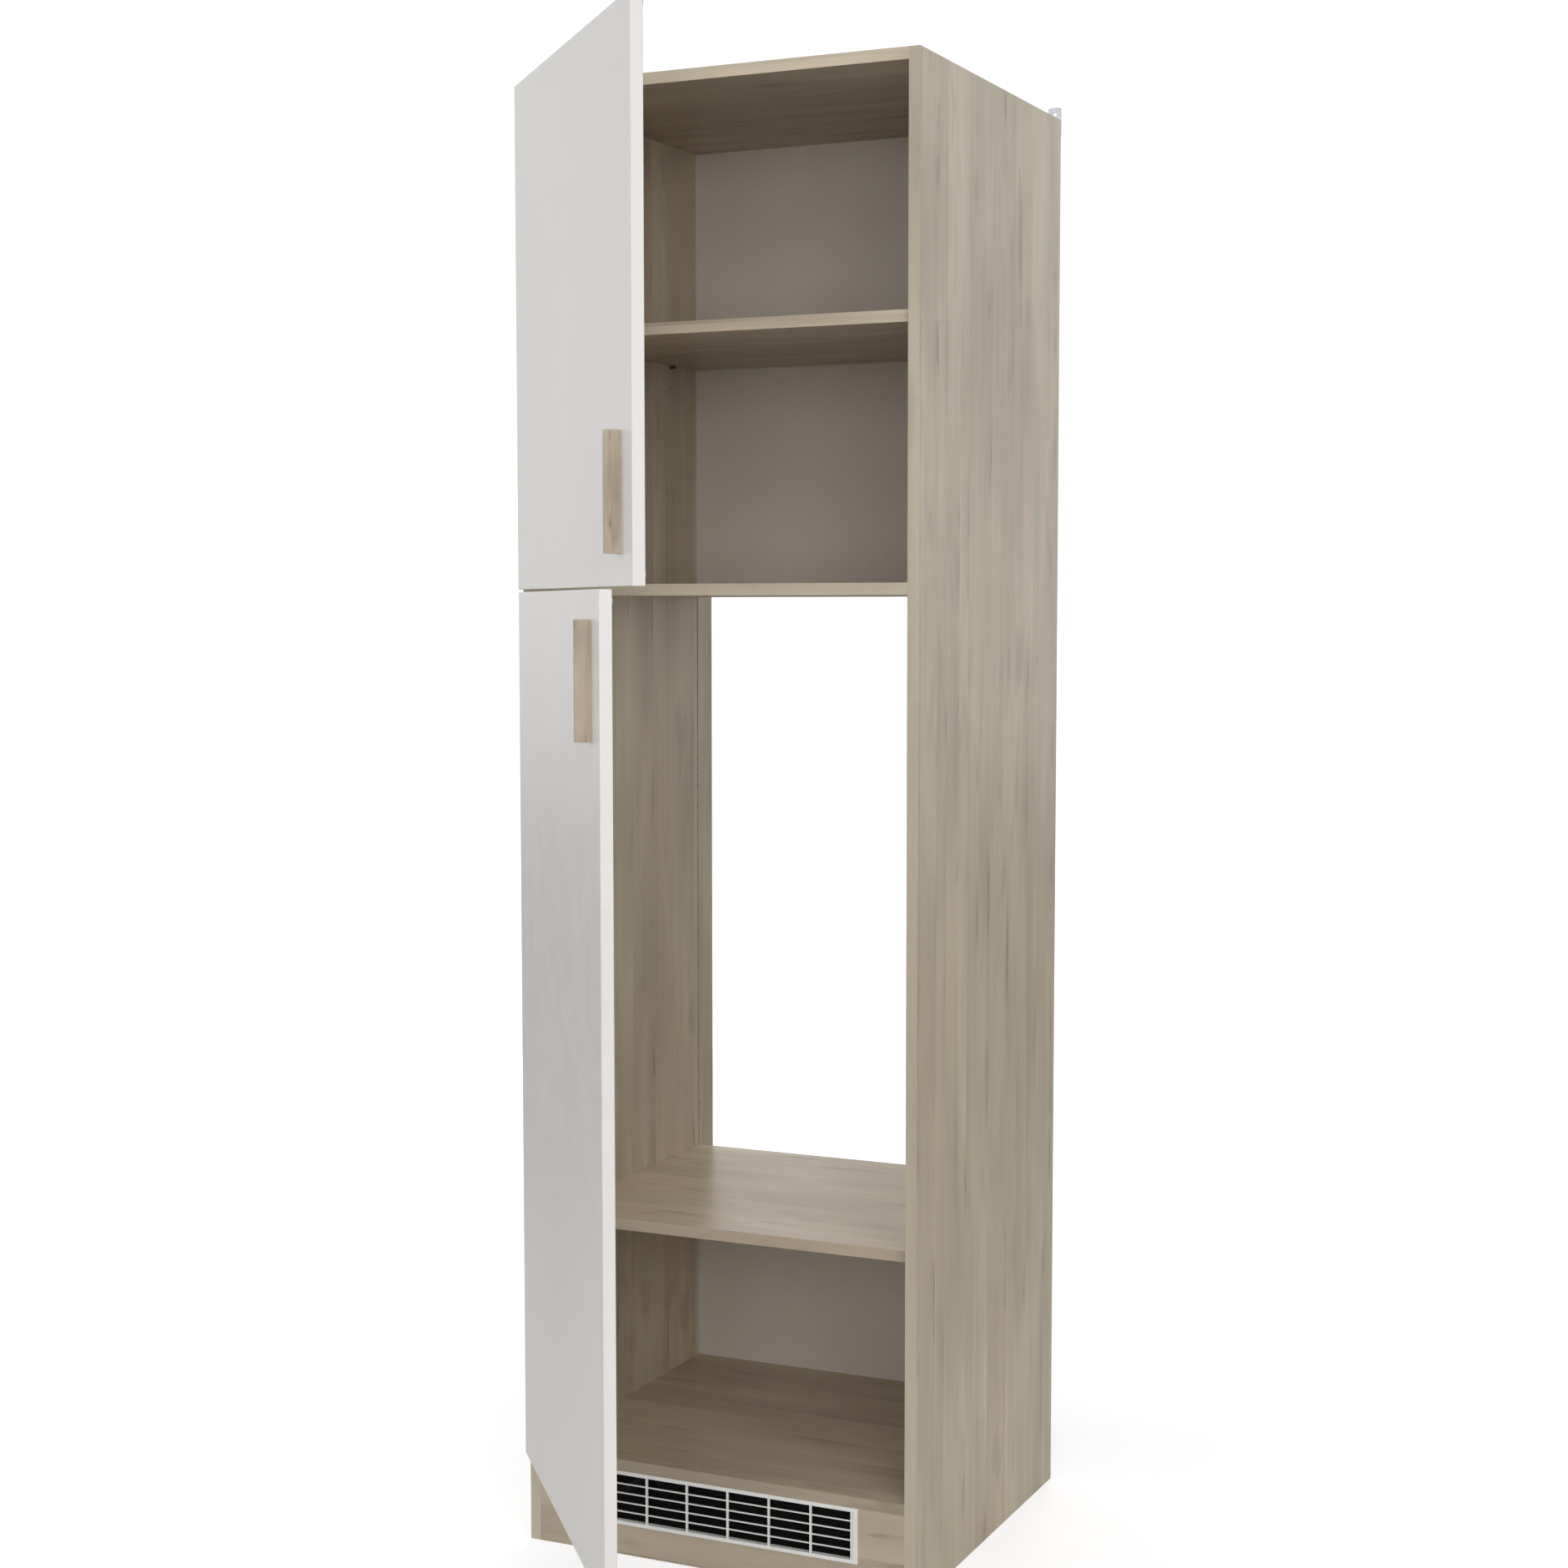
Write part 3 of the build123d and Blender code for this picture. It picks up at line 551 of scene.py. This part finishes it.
# ------------------------------------------------------------------ floor, light, camera
def floor_mesh():
    """pale floor that runs out into the white of the background"""
    me = bpy.data.meshes.new("studio_floor")
    bm = bmesh.new()
    bmesh.ops.create_grid(bm, x_segments=24, y_segments=24, size=14.0)
    bm.to_mesh(me)
    bm.free()
    o = bpy.data.objects.new("studio_floor", me)
    scene.collection.objects.link(o)
    g = Graph("pale_floor")
    d = g.nt.nodes.new("ShaderNodeVectorMath")
    d.operation = "LENGTH"
    g.link(g.vec(g.x, g.y, 0.0), d.inputs[0])
    fade = g.smooth(d.outputs["Value"], 0.8, 3.2)
    t = g.noise(g.pos, 2.0, 3.0, 0.5)
    grey = g.math("MULTIPLY", g.linear(fade, 0.0, 1.0, 0.74, 0.30), g.linear(t, 0.3, 0.7, 0.995, 1.005))
    seen_by = g.nt.nodes.new("ShaderNodeLightPath").outputs["Is Camera Ray"]
    # painted shade: the camera-only glow is cut off under the cabinet, so the floor there stays dark
    under = g.math("MULTIPLY",
                   g.math("MULTIPLY", g.smooth(g.y, 0.0, 0.05), g.smooth(g.y, 0.50, 0.60, 1.0, 0.0)),
                   g.smooth(g.math("ABSOLUTE", g.x), 0.25, 0.30, 1.0, 0.0))
    glow = g.math("MULTIPLY", seen_by, g.linear(fade, 0.0, 1.0, FLOOR_GLOW, 1.05))
    glow = g.math("MULTIPLY", glow, g.math("SUBTRACT", 1.0, under))
    g.put(g.bsdf.inputs["Emission Strength"], glow)
    g.bsdf.inputs["Emission Color"].default_value = (0.992, 1.0, 1.028, 1)
    me.materials.append(g.finish(g.vec(grey, grey, grey), 0.9, None, Specular_IOR_Level=0.1))
    return o


FLOOR_GLOW = 0.51
floor_mesh()

world = bpy.data.worlds.new("studio")
scene.world = world
world.use_nodes = True
wt = world.node_tree
wt.nodes.clear()
wo = wt.nodes.new("ShaderNodeOutputWorld")
bg = wt.nodes.new("ShaderNodeBackground")
bg.inputs["Color"].default_value = (1.0, 1.0, 1.0, 1.0)
bg.inputs["Strength"].default_value = 0.40
seen = wt.nodes.new("ShaderNodeBackground")
seen.inputs["Color"].default_value = (1.0, 1.0, 1.0, 1.0)
seen.inputs["Strength"].default_value = 1.10
path = wt.nodes.new("ShaderNodeLightPath")
mx = wt.nodes.new("ShaderNodeMixShader")
either_ray = wt.nodes.new("ShaderNodeMath")
either_ray.operation = "MAXIMUM"
wt.links.new(path.outputs["Is Camera Ray"], either_ray.inputs[0])
wt.links.new(path.outputs["Is Glossy Ray"], either_ray.inputs[1])
wt.links.new(either_ray.outputs[0], mx.inputs[0])
wt.links.new(bg.outputs[0], mx.inputs[1])
wt.links.new(seen.outputs[0], mx.inputs[2])
wt.links.new(mx.outputs[0], wo.inputs["Surface"])


def area(name, loc, target, size, power, colour=(1, 1, 1)):
    d = bpy.data.lights.new(name, "AREA")
    d.shape = "RECTANGLE"
    d.size, d.size_y = size
    d.energy = power
    d.color = colour
    o = bpy.data.objects.new(name, d)
    scene.collection.objects.link(o)
    o.location = loc
    o.rotation_euler = (Vector(target) - Vector(loc)).to_track_quat("-Z", "Y").to_euler()
    o.visible_camera = False
    return o


area("key", (-3.6, -1.4, 2.2), (0, 0, 1.0), (1.2, 1.2), 28)
area("front_near_camera", (1.6, -3.4, 2.4), (0, 0, 1.1), (1.6, 1.6), 13)
area("front_far", (0.6, -5.0, 1.7), (0, 0, 1.1), (2.6, 2.0), 38)
area("front_right_high", (3.4, -3.0, 2.8), (0, 0, 1.2), (2.4, 2.4), 32)
area("front_right", (2.7, -4.4, 1.6), (0, 0, 1.0), (1.8, 1.8), 38)
area("right_low", (4.2, -0.2, 0.9), (0, 0, 0.9), (2.4, 1.6), 16)
area("rear_left", (-2.6, 3.6, 2.4), (0, 0.3, 1.0), (2.4, 2.4), 14)
area("rear_high", (-0.40, 3.2, 2.5), (0.05, 0.25, 0.48), (0.8, 1.6), 18)

cam_data = bpy.data.cameras.new("camera")
cam = bpy.data.objects.new("camera", cam_data)
scene.collection.objects.link(cam)
cam.location = (1.551924, -3.106996, 1.344027)
cam.rotation_euler = (1.494339, 0.000495, 0.435751)
cam_data.sensor_fit = "HORIZONTAL"
cam_data.sensor_width = 36.0
cam_data.lens = 58.373
cam_data.shift_x = 0.0
cam_data.shift_y = 24.0 / 1880.0
cam_data.clip_end = 60.0
scene.camera = cam

scene.view_settings.view_transform = "Standard"
scene.view_settings.look = "None"
scene.view_settings.exposure = 0.0
scene.view_settings.gamma = 1.0
